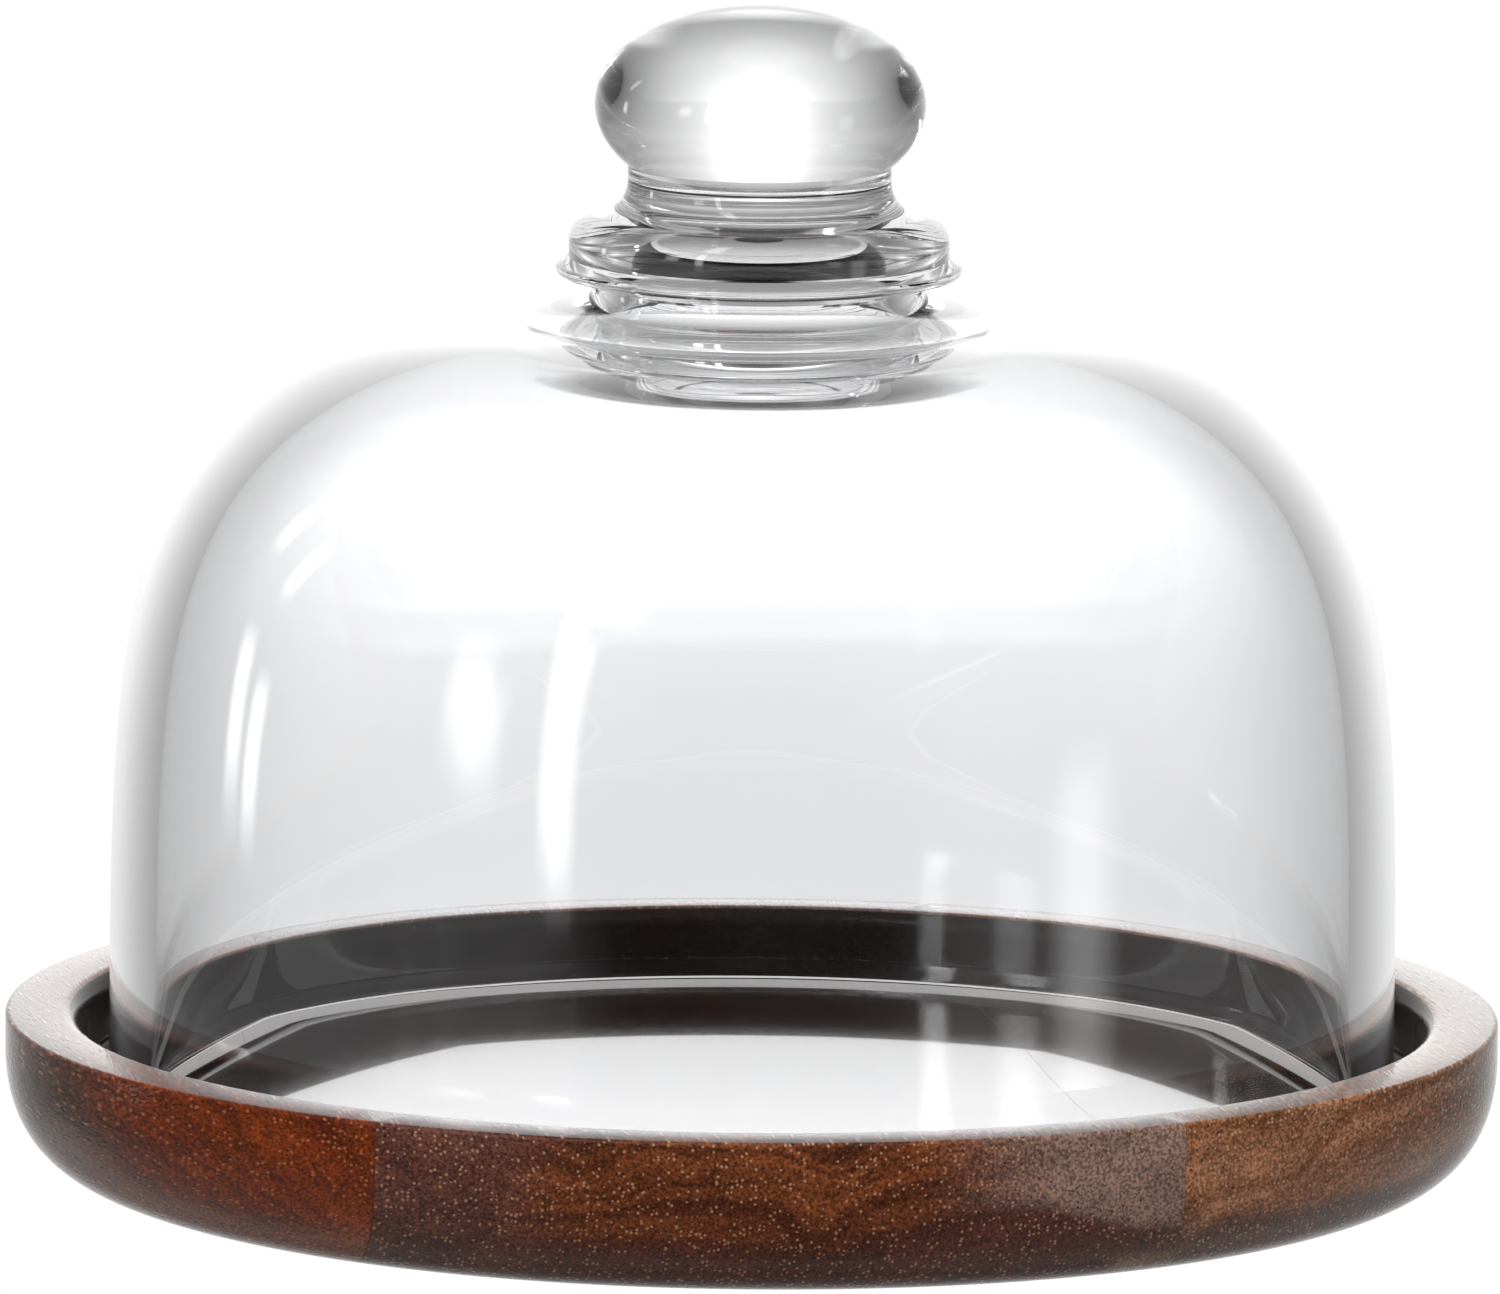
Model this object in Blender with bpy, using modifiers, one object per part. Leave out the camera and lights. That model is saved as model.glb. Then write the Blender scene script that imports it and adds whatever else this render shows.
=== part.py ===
"""Glass bell that lifts off a turned hardwood tray.

Metres, +Z up. The origin is the centre of the tray's underside, and +Z is the turning axis
that every piece shares. The bell, its collar and its knob are carried by one empty, which
lifts them straight up out of the recess.
"""

import math

import bmesh
import bpy

COLLECTION_NAME = "bell_jar_dome"
CUTTER_COLLECTION_NAME = "cutters"

# Resolution of the turned pieces.
TURN_STEPS = 64
CURVE_STEPS = 8
FILLET_STEPS = 3
ARRIS_STEPS = 2
SHARP_ANGLE = math.radians(32)
MERGE_DISTANCE = 1e-6

# Clearances: REST_GAP where one piece stands on another, GLUE_GAP along a glued joint.
REST_GAP = 0.0003
GLUE_GAP = 0.0001

# Tray: boards glued edge to edge and turned to one section.
TRAY_RADIUS = 0.100
TRAY_HEIGHT = 0.022
TRAY_UPRIGHT_SIDE = 0.004
TRAY_UNDERCURVE_INSET = 0.0175
TRAY_UNDERCURVE_POWER = 2.4
RIM_ARRIS_RADIUS = 0.0006
RIM_INNER_ROUND = 0.0026
RECESS_RADIUS = 0.090
RECESS_DEPTH = 0.0095
RECESS_COVE = 0.0015

# Boards: the grain runs GRAIN_TURN anticlockwise of +Y, and each glue line is an offset
# from the axis, measured across the grain.
GRAIN_TURN = math.radians(10)
LEFT_GLUE_LINE = -0.0634
RIGHT_GLUE_LINE = 0.0418

# Bell: a thick shell whose section is the curve (r / R)^4 + (z / H)^4 = 1.
BELL_RADIUS = 0.0861
BELL_HEIGHT = 0.1049
BELL_POWER = 4.0
BELL_WALL = 0.0062
BELL_CROWN_THICKNESS = 0.0072
BELL_FOOT_ROUND = 0.0015
BELL_FOOT_INNER_ROUND = 0.0025

# Neck: the short stub on the crown and the bore that flares down into the bell.
NECK_STUB_RADIUS = 0.0222
NECK_STUB_HEIGHT = 0.0026
NECK_BORE_RADIUS = 0.017
NECK_FLARE_RADIUS = 0.033

# Collar: a hollow ring with a thin lip below and a narrow seat for the knob on top.
COLLAR_HEIGHT = 0.0138
COLLAR_LIP_RADIUS = 0.0272
COLLAR_LIP_HEIGHT = 0.0015
COLLAR_LIP_ROUND = 0.0008
COLLAR_LIP_SWEEP = 80
COLLAR_BULGE_RADIUS = 0.0254
COLLAR_BULGE_ROUND = 0.0042
COLLAR_BULGE_TOP = 0.0098
COLLAR_SIDE_FOOT = 0.0036
COLLAR_SEAT_RADIUS = 0.0176
COLLAR_SEAT_FILLET = 0.0034
COLLAR_SHOULDER_SWEEP = 75
COLLAR_HOLLOW_HEIGHT = 0.0090
COLLAR_HOLLOW_ROUND = 0.0040
COLLAR_HOLLOW_CROWN = 0.0006

# Knob: a flattened ball on a short stem.
KNOB_RADIUS = 0.0221
KNOB_HALF_HEIGHT = 0.01345
KNOB_STEM_RADIUS = 0.0176
KNOB_STEM_HEIGHT = 0.0018

RECESS_FLOOR = TRAY_HEIGHT - RECESS_DEPTH
BELL_FOOT = RECESS_FLOOR + REST_GAP
COLLAR_FOOT = BELL_FOOT + BELL_HEIGHT + NECK_STUB_HEIGHT + REST_GAP
KNOB_FOOT = COLLAR_FOOT + COLLAR_HEIGHT + REST_GAP

# Far enough out to be clear of the tray on every side.
BEYOND_TRAY = 1.5 * TRAY_RADIUS

CLEAR_GLASS = (0.90, 0.93, 0.92)
GLASS_ROUGHNESS = 0.02
GLASS_IOR = 1.5
GLASS_TRANSMISSION = 0.9
GLASS_VIEWPORT_ALPHA = 0.35
WOOD_COLOURS = {
    "left": (0.205, 0.075, 0.022),
    "middle": (0.115, 0.052, 0.030),
    "right": (0.165, 0.085, 0.040),
}
WOOD_ROUGHNESS = 0.35
LACQUER_WEIGHT = 0.6


def clear_scene():
    for scene_object in list(bpy.data.objects):
        bpy.data.objects.remove(scene_object, do_unlink=True)


def make_collection(name):
    collection = bpy.data.collections.new(name)
    bpy.context.scene.collection.children.link(collection)
    return collection


def make_glass(name):
    material = bpy.data.materials.new(name)
    material.use_nodes = True
    shader = material.node_tree.nodes["Principled BSDF"]
    shader.inputs["Base Color"].default_value = (*CLEAR_GLASS, 1.0)
    shader.inputs["Roughness"].default_value = GLASS_ROUGHNESS
    shader.inputs["Metallic"].default_value = 0.0
    shader.inputs["IOR"].default_value = GLASS_IOR
    shader.inputs["Transmission Weight"].default_value = GLASS_TRANSMISSION
    material.diffuse_color = (*CLEAR_GLASS, GLASS_VIEWPORT_ALPHA)
    return material


def make_lacquered_wood(name, colour):
    material = bpy.data.materials.new(name)
    material.use_nodes = True
    shader = material.node_tree.nodes["Principled BSDF"]
    shader.inputs["Base Color"].default_value = (*colour, 1.0)
    shader.inputs["Roughness"].default_value = WOOD_ROUGHNESS
    shader.inputs["Metallic"].default_value = 0.0
    shader.inputs["Coat Weight"].default_value = LACQUER_WEIGHT
    material.diffuse_color = (*colour, 1.0)
    return material


def arc(centre, radii, start, end, steps):
    """Points on an ellipse arc in the XZ plane, from one angle to the other, both ends included."""
    points = []
    for step in range(steps + 1):
        angle = math.radians(start + (end - start) * step / steps)
        x = centre[0] + radii[0] * math.cos(angle)
        z = centre[1] + radii[1] * math.sin(angle)
        points.append((x, z))
    return points


def superellipse(radius, height, power, start, end, steps):
    """Points of (x / radius)^power + (z / height)^power = 1 between two angles of its parameter."""
    points = []
    for step in range(steps + 1):
        angle = math.radians(start + (end - start) * step / steps)
        x = radius * abs(math.cos(angle)) ** (2 / power)
        z = height * abs(math.sin(angle)) ** (2 / power)
        points.append((x, z))
    return points


def angle_at_radius(radius, power, x):
    """The parameter angle at which a superellipse is x from its axis."""
    return math.degrees(math.acos((x / radius) ** (power / 2)))


def angle_at_height(height, power, z):
    """The parameter angle at which a superellipse is z above its foot."""
    return math.degrees(math.asin((z / height) ** (power / 2)))


def turn(name, profile, closed):
    """A solid of revolution about Z from a profile that runs down its outer side."""
    mesh = bpy.data.meshes.new(name)
    shape = bmesh.new()
    vertices = [shape.verts.new((x, 0.0, z)) for x, z in profile]
    for first, second in zip(vertices, vertices[1:]):
        shape.edges.new((first, second))
    if closed:
        shape.edges.new((vertices[-1], vertices[0]))
    shape.to_mesh(mesh)
    shape.free()

    turned = bpy.data.objects.new(name, mesh)
    bpy.context.scene.collection.objects.link(turned)
    screw = turned.modifiers.new("turn", "SCREW")
    screw.axis = "Z"
    screw.angle = math.tau
    screw.steps = TURN_STEPS
    screw.render_steps = TURN_STEPS
    screw.use_merge_vertices = True
    screw.merge_threshold = MERGE_DISTANCE
    screw.use_smooth_shade = True

    evaluated = turned.evaluated_get(bpy.context.evaluated_depsgraph_get())
    solid = bpy.data.meshes.new_from_object(evaluated)
    solid.name = name
    turned.modifiers.clear()
    turned.data = solid
    bpy.data.meshes.remove(mesh)
    solid.shade_smooth()
    solid.set_sharp_from_angle(angle=SHARP_ANGLE)
    bpy.context.scene.collection.objects.unlink(turned)
    return turned


def tray_profile():
    """From the middle of the recess floor, over the rim and round the side to the underside."""
    arris = RIM_ARRIS_RADIUS
    cove = arc(
        (RECESS_RADIUS - RECESS_COVE, RECESS_FLOOR + RECESS_COVE),
        (RECESS_COVE, RECESS_COVE), -90, 0, FILLET_STEPS,
    )
    inner_round = arc(
        (RECESS_RADIUS + RIM_INNER_ROUND, TRAY_HEIGHT - RIM_INNER_ROUND),
        (RIM_INNER_ROUND, RIM_INNER_ROUND), 180, 90, FILLET_STEPS,
    )
    outer_arris = arc(
        (TRAY_RADIUS - arris, TRAY_HEIGHT - arris), (arris, arris), 90, 0, ARRIS_STEPS
    )
    undercurve_height = TRAY_HEIGHT - TRAY_UPRIGHT_SIDE
    quarter = superellipse(
        TRAY_UNDERCURVE_INSET, undercurve_height, TRAY_UNDERCURVE_POWER, 0, 90, CURVE_STEPS
    )
    flat_radius = TRAY_RADIUS - TRAY_UNDERCURVE_INSET
    undercurve = [(flat_radius + x, undercurve_height - z) for x, z in quarter]
    return [(0.0, RECESS_FLOOR), *cove, *inner_round, *outer_arris, *undercurve, (0.0, 0.0)]


def bell_profile():
    """From the stub's top edge down the outside, round the foot and up the inside to the bore."""
    stub_top = BELL_HEIGHT + NECK_STUB_HEIGHT
    stub_fillet_foot = NECK_STUB_RADIUS + NECK_STUB_HEIGHT
    stub_fillet = arc(
        (stub_fillet_foot, stub_top), (NECK_STUB_HEIGHT, NECK_STUB_HEIGHT), 180, 270, FILLET_STEPS
    )
    outer_start = angle_at_radius(BELL_RADIUS, BELL_POWER, stub_fillet_foot + NECK_STUB_HEIGHT)
    outer_end = angle_at_height(BELL_HEIGHT, BELL_POWER, BELL_FOOT_ROUND)
    outside = superellipse(
        BELL_RADIUS, BELL_HEIGHT, BELL_POWER, outer_start, outer_end, 2 * CURVE_STEPS
    )
    outer_foot = arc(
        (BELL_RADIUS - BELL_FOOT_ROUND, BELL_FOOT_ROUND),
        (BELL_FOOT_ROUND, BELL_FOOT_ROUND), 0, -90, FILLET_STEPS,
    )
    inner_radius = BELL_RADIUS - BELL_WALL
    inner_height = BELL_HEIGHT - BELL_CROWN_THICKNESS
    inner_foot = arc(
        (inner_radius + BELL_FOOT_INNER_ROUND, BELL_FOOT_INNER_ROUND),
        (BELL_FOOT_INNER_ROUND, BELL_FOOT_INNER_ROUND), 270, 180, FILLET_STEPS,
    )
    inner_start = angle_at_height(inner_height, BELL_POWER, BELL_FOOT_INNER_ROUND)
    inner_end = angle_at_radius(inner_radius, BELL_POWER, NECK_FLARE_RADIUS)
    inside = superellipse(
        inner_radius, inner_height, BELL_POWER, inner_start, inner_end, 2 * CURVE_STEPS
    )
    flare_foot = inside[-1][1]
    flare = arc(
        (NECK_FLARE_RADIUS, stub_top),
        (NECK_FLARE_RADIUS - NECK_BORE_RADIUS, stub_top - flare_foot), 270, 180, 2 * FILLET_STEPS,
    )
    return [*stub_fillet, *outside, *outer_foot[1:], *inner_foot, *inside[1:], *flare[1:]]


def collar_profile():
    """From the middle of the knob's seat, down the outside and up into the hollow."""
    bulge_centre = COLLAR_BULGE_RADIUS - COLLAR_BULGE_ROUND
    bulge_side = COLLAR_BULGE_TOP - COLLAR_BULGE_ROUND
    seat_fillet = arc(
        (COLLAR_SEAT_RADIUS + COLLAR_SEAT_FILLET, COLLAR_HEIGHT),
        (COLLAR_SEAT_FILLET, COLLAR_HEIGHT - COLLAR_BULGE_TOP),
        180, 180 + COLLAR_SHOULDER_SWEEP, FILLET_STEPS,
    )
    bulge = arc(
        (bulge_centre, bulge_side), (COLLAR_BULGE_ROUND, COLLAR_BULGE_ROUND),
        COLLAR_SHOULDER_SWEEP, 0, FILLET_STEPS,
    )
    lip = arc(
        (COLLAR_LIP_RADIUS - COLLAR_LIP_ROUND, COLLAR_LIP_HEIGHT),
        (COLLAR_LIP_ROUND, COLLAR_LIP_ROUND), COLLAR_LIP_SWEEP, -COLLAR_LIP_SWEEP, FILLET_STEPS,
    )
    hollow_edge = NECK_BORE_RADIUS - COLLAR_HOLLOW_ROUND
    hollow = arc(
        (hollow_edge, COLLAR_HOLLOW_HEIGHT - COLLAR_HOLLOW_ROUND),
        (COLLAR_HOLLOW_ROUND, COLLAR_HOLLOW_ROUND), 0, 90, FILLET_STEPS,
    )
    return [
        (0.0, COLLAR_HEIGHT),
        *seat_fillet,
        *bulge,
        (COLLAR_BULGE_RADIUS, COLLAR_SIDE_FOOT),
        *lip,
        (NECK_STUB_RADIUS, 0.0),
        (NECK_BORE_RADIUS, 0.0),
        *hollow,
        (0.0, COLLAR_HOLLOW_HEIGHT + COLLAR_HOLLOW_CROWN),
    ]


def knob_profile():
    """From the top of the ball down to the foot of the stem."""
    stem_angle = math.degrees(math.acos(KNOB_STEM_RADIUS / KNOB_RADIUS))
    below_centre = KNOB_HALF_HEIGHT * math.sin(math.radians(stem_angle))
    centre = (0.0, KNOB_STEM_HEIGHT + below_centre)
    ball = arc(centre, (KNOB_RADIUS, KNOB_HALF_HEIGHT), 90, -stem_angle, 2 * CURVE_STEPS)
    ball[0] = (0.0, centre[1] + KNOB_HALF_HEIGHT)
    return [*ball, (KNOB_STEM_RADIUS, 0.0), (0.0, 0.0)]


def make_carrier(name, height, collection):
    carrier = bpy.data.objects.new(name, None)
    carrier.empty_display_size = TRAY_HEIGHT
    carrier.location = (0.0, 0.0, height)
    collection.objects.link(carrier)
    return carrier


def place(piece, material, carrier, height, collection):
    """Puts a piece at a world height, carried by an empty."""
    piece.data.materials.append(material)
    collection.objects.link(piece)
    piece.parent = carrier
    piece.location = (0.0, 0.0, height - carrier.location.z)


def board_cutter(name, near, far, collection):
    """A slab along the grain that holds what lies between two offsets across it."""
    mesh = bpy.data.meshes.new(name)
    shape = bmesh.new()
    bmesh.ops.create_cube(shape, size=1.0)
    bmesh.ops.scale(shape, vec=(far - near, 2 * BEYOND_TRAY, BEYOND_TRAY), verts=shape.verts)
    bmesh.ops.translate(shape, vec=((near + far) / 2, 0.0, 0.0), verts=shape.verts)
    shape.to_mesh(mesh)
    shape.free()
    cutter = bpy.data.objects.new(name, mesh)
    cutter.rotation_euler.z = GRAIN_TURN
    cutter.hide_render = True
    cutter.display_type = "WIRE"
    collection.objects.link(cutter)
    return cutter


def make_boards(carrier, collection, cutters):
    """The turned tray, divided along its glue lines."""
    half_gap = GLUE_GAP / 2
    spans = {
        "left": (-BEYOND_TRAY, LEFT_GLUE_LINE - half_gap),
        "middle": (LEFT_GLUE_LINE + half_gap, RIGHT_GLUE_LINE - half_gap),
        "right": (RIGHT_GLUE_LINE + half_gap, BEYOND_TRAY),
    }
    for side, (near, far) in spans.items():
        board = turn(f"tray_board_{side}", tray_profile(), closed=False)
        material = make_lacquered_wood(f"lacquered_wood_{side}", WOOD_COLOURS[side])
        place(board, material, carrier, 0.0, collection)
        saw = board.modifiers.new("saw", "BOOLEAN")
        saw.operation = "INTERSECT"
        saw.solver = "EXACT"
        saw.object = board_cutter(f"cutter_{side}", near, far, cutters)


def make_lid(carrier, collection):
    bell = turn("bell_shell", bell_profile(), closed=True)
    place(bell, make_glass("clear_glass_bell"), carrier, BELL_FOOT, collection)
    collar = turn("neck_collar", collar_profile(), closed=False)
    place(collar, make_glass("clear_glass_collar"), carrier, COLLAR_FOOT, collection)
    knob = turn("lifting_knob", knob_profile(), closed=False)
    place(knob, make_glass("clear_glass_knob"), carrier, KNOB_FOOT, collection)


def main():
    clear_scene()
    parts = make_collection(COLLECTION_NAME)
    cutters = make_collection(CUTTER_COLLECTION_NAME)
    make_boards(make_carrier("tray", 0.0, parts), parts, cutters)
    make_lid(make_carrier("lid", BELL_FOOT, parts), parts)


main()
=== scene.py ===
"""Looks of the glass bell and its turned hardwood tray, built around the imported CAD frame.

Metres, +Z up, in the frame's own coordinates. The glass pieces and the boards are turned again
here with fine sections, and take the places of their coarse CAD solids.
"""

import math

import bmesh
import bpy
from mathutils import Matrix, Vector


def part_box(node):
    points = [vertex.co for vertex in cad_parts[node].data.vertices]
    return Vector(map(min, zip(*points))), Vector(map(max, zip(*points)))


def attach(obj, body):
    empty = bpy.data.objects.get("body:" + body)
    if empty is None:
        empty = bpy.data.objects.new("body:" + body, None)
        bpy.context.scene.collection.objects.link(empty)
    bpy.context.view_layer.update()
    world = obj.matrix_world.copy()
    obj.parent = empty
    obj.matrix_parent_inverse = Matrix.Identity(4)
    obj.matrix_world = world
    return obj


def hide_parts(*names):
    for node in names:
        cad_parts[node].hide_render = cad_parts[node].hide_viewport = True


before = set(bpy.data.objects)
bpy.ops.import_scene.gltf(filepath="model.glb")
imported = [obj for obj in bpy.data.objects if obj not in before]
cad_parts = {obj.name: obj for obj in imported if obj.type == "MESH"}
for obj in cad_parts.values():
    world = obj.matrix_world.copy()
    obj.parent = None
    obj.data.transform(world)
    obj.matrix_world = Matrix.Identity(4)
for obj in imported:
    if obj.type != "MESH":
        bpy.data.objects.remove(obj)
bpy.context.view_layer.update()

# The frame's own measures.
BELL_LOW, BELL_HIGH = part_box("bell_shell")
COLLAR_LOW, COLLAR_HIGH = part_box("neck_collar")
KNOB_LOW, KNOB_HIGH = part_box("lifting_knob")
BOARD_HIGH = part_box("tray_board_middle")[1]

# The bell stands this far above the recess floor, as meshes that touch have to.
REST_GAP = 0.0003

TRAY_RADIUS = BOARD_HIGH.y
TRAY_HEIGHT = BOARD_HIGH.z
RECESS_FLOOR = BELL_LOW.z - REST_GAP
BELL_RADIUS = BELL_HIGH.x
BELL_FOOT = BELL_LOW.z
NECK_TOP = BELL_HIGH.z
COLLAR_FOOT = COLLAR_LOW.z
COLLAR_TOP = COLLAR_HIGH.z
COLLAR_LIP_RADIUS = COLLAR_HIGH.x
KNOB_FOOT = KNOB_LOW.z
KNOB_TOP = KNOB_HIGH.z
KNOB_RADIUS = KNOB_HIGH.x

# Sections that the frame doesn't state. They are as in the CAD source but for the edge of the
# collar's lip, which is higher, the collar's hollow, which is taller, and the glue lines, which
# are finer.
TRAY_UPRIGHT_SIDE = 0.004
TRAY_UNDERCURVE_INSET = 0.0175
TRAY_UNDERCURVE_POWER = 2.4
RIM_ARRIS_RADIUS = 0.0006
RIM_INNER_ROUND = 0.0026
RECESS_RADIUS = 0.090
RECESS_COVE = 0.0015
GRAIN_TURN = math.radians(10)
LEFT_GLUE_LINE = -0.0634
RIGHT_GLUE_LINE = 0.0418
GLUE_GAP = 0.00004

BELL_POWER = 4.0
BELL_WALL = 0.0062
BELL_CROWN_THICKNESS = 0.0072
BELL_FOOT_ROUND = 0.0015
BELL_FOOT_INNER_ROUND = 0.0025
NECK_STUB_RADIUS = 0.0222
NECK_STUB_HEIGHT = 0.0026
NECK_BORE_RADIUS = 0.017
NECK_FLARE_RADIUS = 0.033
COLLAR_LIP_HEIGHT = 0.0020
COLLAR_LIP_ROUND = 0.0008
COLLAR_LIP_SWEEP = 80
COLLAR_BULGE_RADIUS = 0.0254
COLLAR_BULGE_ROUND = 0.0042
COLLAR_BULGE_TOP = 0.0098
COLLAR_SIDE_FOOT = 0.0036
COLLAR_SEAT_RADIUS = 0.0176
COLLAR_SEAT_FILLET = 0.0034
COLLAR_SHOULDER_SWEEP = 75
COLLAR_HOLLOW_RADIUS = 0.0170
COLLAR_HOLLOW_HEIGHT = 0.0115
COLLAR_HOLLOW_ROUND = 0.0040
COLLAR_HOLLOW_CROWN = 0.0006
# Bands of nearly black glass round the hollow, by height above the collar's foot. They are painted
# in for what the real collar mirrors there.
NECK_SHADE_BANDS = ((0.0030, 0.0050), (0.0058, 0.0076))
KNOB_STEM_RADIUS = 0.0176
KNOB_STEM_HEIGHT = 0.0018

# Colours.
BELL_COLOUR = (0.965, 0.968, 0.975)
# The collar's glass is greyer than the bell's glass that it is fused to: painted shade.
COLLAR_PAINTED_SHADE_COLOUR = (0.76, 0.76, 0.765)
NECK_SHADE_COLOUR = (0.004, 0.004, 0.004)

# Glass: its clouds, and the ground band round the bell's foot, which has a painted glow for the light
# that the real wall carries down.
GLASS_IOR = 1.5
GLASS_CLOUD_SCALE = 30.0
GLASS_CLOUD_SHADE = 0.985
GROUND_HEIGHT = 0.0006
GROUND_GRIT_SCALE = 900.0
GROUND_DULL = (0.80, 0.80, 0.81)
GROUND_BRIGHT = (1.0, 1.0, 1.0)
GROUND_ROUGHNESS = 0.35
GROUND_CLEARNESS = 0.1
GROUND_PAINTED_GLOW = 0.65

# Wood figure, in millimetres in a board's own directions: across the grain, along it and up.
MILLIMETRE = 0.001
WARP_SIZE = (24.0, 160.0, 20.0)
WARP_REACH = 7.0
PATCH_SIZE = (9.0, 60.0, 5.0)
MOTTLE_SIZE = (0.42, 2.4, 0.42)
FLECK_AND_GLINT_SIZE = (0.62, 5.0, 0.62)
PORE_SIZE = (0.8, 6.5, 0.8)

# How much of each noise's range is used, and the shades that it gives.
WARP_RANGE = (0.3, 0.7)
RING_RANGE = (0.34, 0.66)
PATCH_RANGE = (0.35, 0.65)
PATCH_SHADES = (0.82, 1.2)
MOTTLE_RANGE = (0.32, 0.68)
MOTTLE_SHADES = (0.55, 1.6)
FLECK_AND_GLINT_EDGE = (0.2, 0.42)
FLECK_AND_GLINT_STRENGTH = 0.75
PORE_EDGE = (0.12, 0.34)
PORE_STRENGTH = 0.75
PORE_SHARE = 0.25
PORE_COLOUR = (0.012, 0.008, 0.006)
BUMP_DEPTH = 0.00012

# Dark heartwood low in the boards: its height, a rise in it, and how sharp its ragged top is.
HEART_LEVEL = 7.0
HEART_RISE = 6.0
HEART_RISE_AT = 20.0
HEART_RISE_WIDTH = 16.0
HEART_EDGE = (-1.6, 1.4)
HEART_RAGGEDNESS = 0.35

# Boards: pith (across, up), ring spacing, base colours (dark ring, light ring), the colours of
# the heartwood and of the flecks, which are partly painted glints, and the seed. A zone is a colour,
# the two places across the board that it comes in between, and the two heights that it ends
# between: those in "under" lie under the heartwood and those in "over" lie over it. The pale grey
# zones at the boards' far edges and on the middle board's right are painted sheen.
BOARD_LOOKS = {
    "left": {
        "pith": (-150.0, -60.0), "spacing": 5.0, "seed": 11.0,
        "dark": (0.120, 0.018, 0.003), "light": (0.225, 0.038, 0.005),
        "heart": (0.220, 0.060, 0.020), "fleck_and_glint": (0.60, 0.17, 0.045), "fleck_and_glint_share": 0.35,
        # A pale grey zone at the board's far edge: painted sheen.
        "under": [((0.110, 0.050, 0.032), -88.0, -99.0, 30.0, 40.0)],
        "over": [],
    },
    "middle": {
        "pith": (-30.0, 275.0), "spacing": 4.0, "seed": 3.0,
        "dark": (0.088, 0.023, 0.008), "light": (0.175, 0.047, 0.014),
        "heart": (0.085, 0.024, 0.014), "fleck_and_glint": (0.58, 0.30, 0.16), "fleck_and_glint_share": 0.4,
        "under": [
            ((0.120, 0.042, 0.027), -38.0, -52.0, 30.0, 40.0),
            # This pale grey zone over the middle board's right is painted sheen.
            ((0.225, 0.135, 0.105), 4.0, 26.0, 30.0, 40.0),
        ],
        "over": [((0.260, 0.150, 0.085), 31.0, 34.5, 3.0, 5.0)],
    },
    "right": {
        "pith": (20.0, 160.0), "spacing": 5.0, "seed": 23.0,
        "dark": (0.215, 0.080, 0.032), "light": (0.360, 0.160, 0.080),
        "heart": (0.110, 0.042, 0.025), "fleck_and_glint": (0.66, 0.40, 0.25), "fleck_and_glint_share": 0.4,
        # A pale grey zone at the board's far edge: painted sheen.
        "under": [((0.180, 0.100, 0.065), 84.0, 98.0, 30.0, 40.0)],
        "over": [],
    },
}

# Finishes of a board's faces, in slot order: how much of its colour shows, which is painted shade
# on the rim and darker painted shade on the recess's wall and floor, the lacquer's IOR, how rough
# its grain feels, and the roughness of the wood and of the lacquer over it.
TRAY_FINISHES = {
    "side": (1.0, 1.16, 0.6, 0.4, 0.1),
    "rim": (0.55, 1.24, 0.3, 0.4, 0.1),
    "recess_wall": (0.03, 1.15, 0.1, 0.4, 0.1),
    "recess_floor": (0.12, 1.28, 0.0, 0.1, 0.02),
}
FLOOR_SLOT = 3

# Fineness of the visual meshes.
TURN_STEPS = 288
CURVE_STEPS = 48
FILLET_STEPS = 10
ARRIS_STEPS = 4
SHARP_ANGLE = math.radians(32)
MERGE_DISTANCE = 1e-6

# Camera: it looks at AIM from the front, a little above, through a long lens.
AIM = Vector((-0.0007, 0.0, 0.0714))
CAMERA_ELEVATION = math.radians(9.04)
CAMERA_DISTANCE = 3.2016
CAMERA_ROLL = math.radians(0.54)
CAMERA_LENS = 574.7
CAMERA_REACH = 100.0
SENSOR_WIDTH = 36.0

# Studio: a glow on the backdrop with a brighter core, fading with the angle from its centre.
FLOOR_SIZE = 60.0
FLOOR_LIGHT = 1.02
GLOW_ELEVATION = math.radians(4)
GLOW_WIDTH = math.radians(31)
GLOW_POWER = 1.8
GLOW_PEAK = 0.9
CORE_ELEVATION = math.radians(8)
CORE_WIDTH = math.radians(9)
CORE_POWER = 2.0
CORE_PEAK = 0.9

# Grey room round the backdrop, dark round the camera, and white boards low on both sides of the
# object.
SIDE_LIGHT = 0.2
ROOM_LIGHT = 0.38
ROOM_FADE = (math.radians(60), math.radians(100))
DARK_FRONT = (math.radians(136), math.radians(156))
DARK_FRONT_SHARE = 0.08
BOARD_LIGHT = 0.5
BOARD_TOP = (math.radians(-20), math.radians(-12))
BOARD_BACK = (math.radians(22), math.radians(42))
BOARD_FRONT = (math.radians(132), math.radians(152))

# Key panel: a place overhead is given by its offset from the zenith over its height, which counts
# as at least KEY_HORIZON.
KEY_HORIZON = 0.05
KEY_CENTRE = (-0.25, 0.6)
KEY_HALF = (2.9, 1.95)
KEY_EDGE = (0.86, 1.12)
KEY_FADE = (-0.9, 0.0)
KEY_BACK = (0.1, 0.7)
KEY_LIGHT = 2.0
KEY_LIGHT_BEHIND = 0.4

# Strips: azimuth from the camera's side, half width, lowest and highest elevation, softness of
# the ends, all in degrees, and brightness.
STRIP_EDGE_POWER = 4.0
STRIPS = (
    (-36.5, 2.6, -3.0, 32.0, 4.0, 6.0),
    (-54.5, 4.6, 5.0, 19.0, 6.0, 5.0),
    (-108.5, 2.2, -4.0, 7.0, 3.0, 6.0),
    (-112.5, 2.2, 20.0, 30.0, 3.0, 3.5),
    (62.5, 5.4, -16.0, 4.0, 3.0, 1.8),
    (-34.0, 7.0, 40.0, 64.0, 5.0, 6.0),
)

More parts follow.
